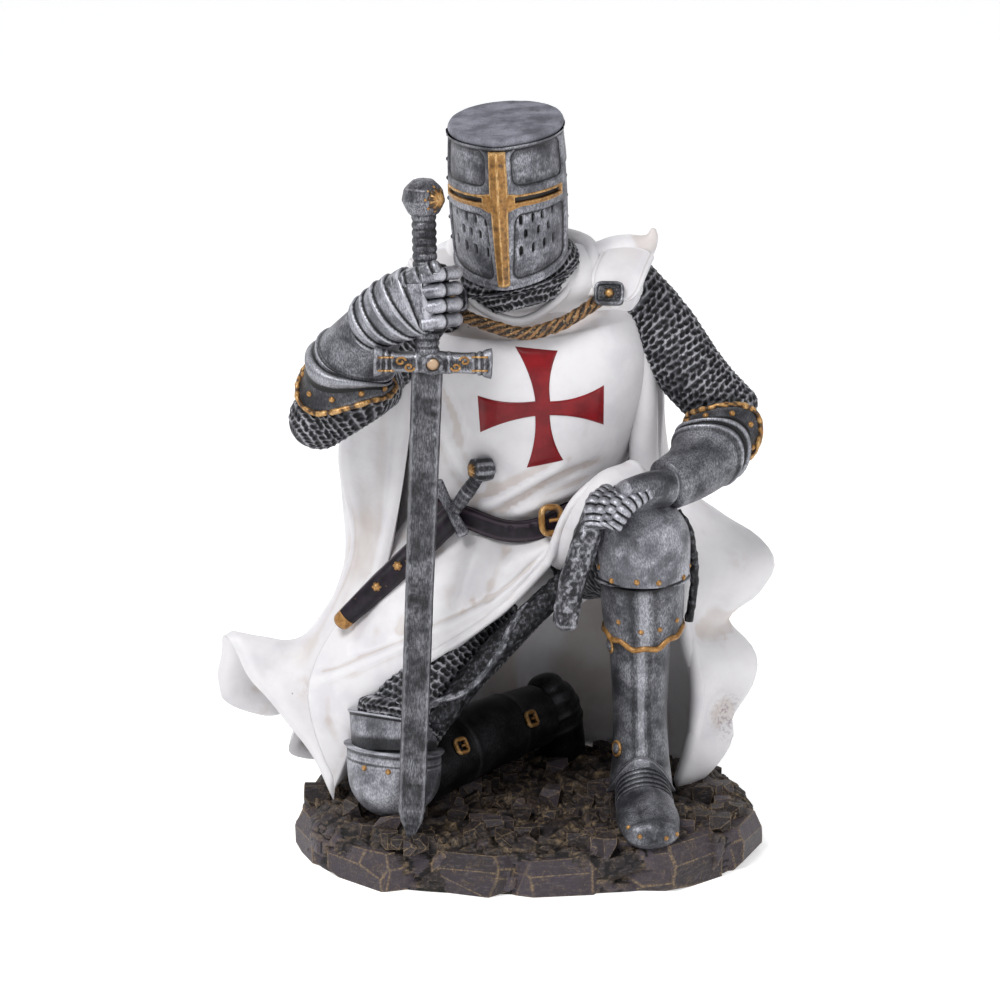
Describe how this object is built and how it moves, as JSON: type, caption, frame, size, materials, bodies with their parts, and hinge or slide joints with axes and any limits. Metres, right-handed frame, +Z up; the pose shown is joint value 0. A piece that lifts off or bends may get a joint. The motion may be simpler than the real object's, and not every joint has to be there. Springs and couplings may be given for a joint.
{
  "type": "kneeling knight figurine",
  "caption": "Painted resin figurine of a helmed knight in mail, surcoat and cloak, kneeling on a rock base and leaning on a long sword held point down.",
  "frame": {"origin": "middle of the base's flat underside", "axes": "+Z up, the knight faces -Y, +X towards the knight's left hand, which is the right as seen from the front"},
  "size_m": [0.1304, 0.0918, 0.1752],
  "materials": {
    "figure_paint": "cast resin, hand painted: off-white cloth with brown washes, dark mail and armour brushed silver and gold",
    "steel_paint": "cast resin painted black and dry-brushed silver, with gold on the guard and pommel",
    "rock_paint": "cast resin painted as dark rock, dry-brushed ochre"
  },
  "bodies": {
    "root": {"knight": "figure_paint", "sword": "steel_paint", "rock_base": "rock_paint"}
  },
  "joints": []
}
